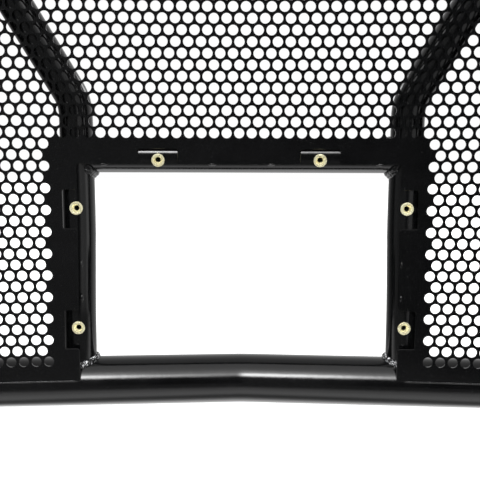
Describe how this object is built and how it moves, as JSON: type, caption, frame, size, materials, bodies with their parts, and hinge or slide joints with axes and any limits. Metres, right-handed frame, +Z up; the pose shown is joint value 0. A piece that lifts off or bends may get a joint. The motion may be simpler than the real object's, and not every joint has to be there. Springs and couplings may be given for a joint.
{
  "type": "front grille guard",
  "caption": "Tubular front grille guard for a pickup: perforated grille sheet with a winch window, upright plates and wrap-round headlight loops.",
  "frame": {"origin": "the middle of the guard's footprint at the vehicle's centre plane, on the level of its lowest edge; the bottom cross tube's axis is 119.9 mm in front of it and 88 mm above it", "axes": "+X to the right as seen from in front of the vehicle, +Y towards the rear of the vehicle, +Z up; the guard's front is -Y"},
  "size_m": [1.7704, 0.3016, 0.704],
  "materials": {
    "gloss_black": "smooth gloss black powder coat on steel",
    "yellow_zinc": "pale yellow zinc plated steel",
    "rubber_strip": "matt black rubber",
    "fastener_steel": "black oxide steel fasteners"
  },
  "bodies": {
    "root": {"bottom_cross_tube": "gloss_black", "grille_sheet": "gloss_black", "left_bracket_bolt_1": "fastener_steel", "left_bracket_bolt_2": "fastener_steel", "left_bracket_nut_1": "fastener_steel", "left_bracket_nut_2": "fastener_steel", "left_bracket_washer_1": "fastener_steel", "left_bracket_washer_2": "fastener_steel", "left_frame_bracket": "gloss_black", "left_headlight_loop": "gloss_black", "left_loop_bar": "gloss_black", "left_loop_bolt_1": "fastener_steel", "left_loop_bolt_2": "fastener_steel", "left_loop_bolt_3": "fastener_steel", "left_loop_bolt_4": "fastener_steel", "left_loop_nut_1": "fastener_steel", "left_loop_nut_2": "fastener_steel", "left_loop_nut_3": "fastener_steel", "left_loop_nut_4": "fastener_steel", "left_loop_plate": "gloss_black", "left_lower_rivet_nut": "yellow_zinc", "left_post_tube": "gloss_black", "left_rubber_strip": "rubber_strip", "left_top_rivet_nut": "yellow_zinc", "left_upper_rivet_nut": "yellow_zinc", "left_upright": "gloss_black", "right_bracket_bolt_1": "fastener_steel", "right_bracket_bolt_2": "fastener_steel", "right_bracket_nut_1": "fastener_steel", "right_bracket_nut_2": "fastener_steel", "right_bracket_washer_1": "fastener_steel", "right_bracket_washer_2": "fastener_steel", "right_frame_bracket": "gloss_black", "right_headlight_loop": "gloss_black", "right_loop_bar": "gloss_black", "right_loop_bolt_1": "fastener_steel", "right_loop_bolt_2": "fastener_steel", "right_loop_bolt_3": "fastener_steel", "right_loop_bolt_4": "fastener_steel", "right_loop_nut_1": "fastener_steel", "right_loop_nut_2": "fastener_steel", "right_loop_nut_3": "fastener_steel", "right_loop_nut_4": "fastener_steel", "right_loop_plate": "gloss_black", "right_lower_rivet_nut": "yellow_zinc", "right_post_tube": "gloss_black", "right_rubber_strip": "rubber_strip", "right_top_rivet_nut": "yellow_zinc", "right_upper_rivet_nut": "yellow_zinc", "right_upright": "gloss_black", "top_cross_tube": "gloss_black", "window_top_rail": "gloss_black"}
  },
  "joints": []
}
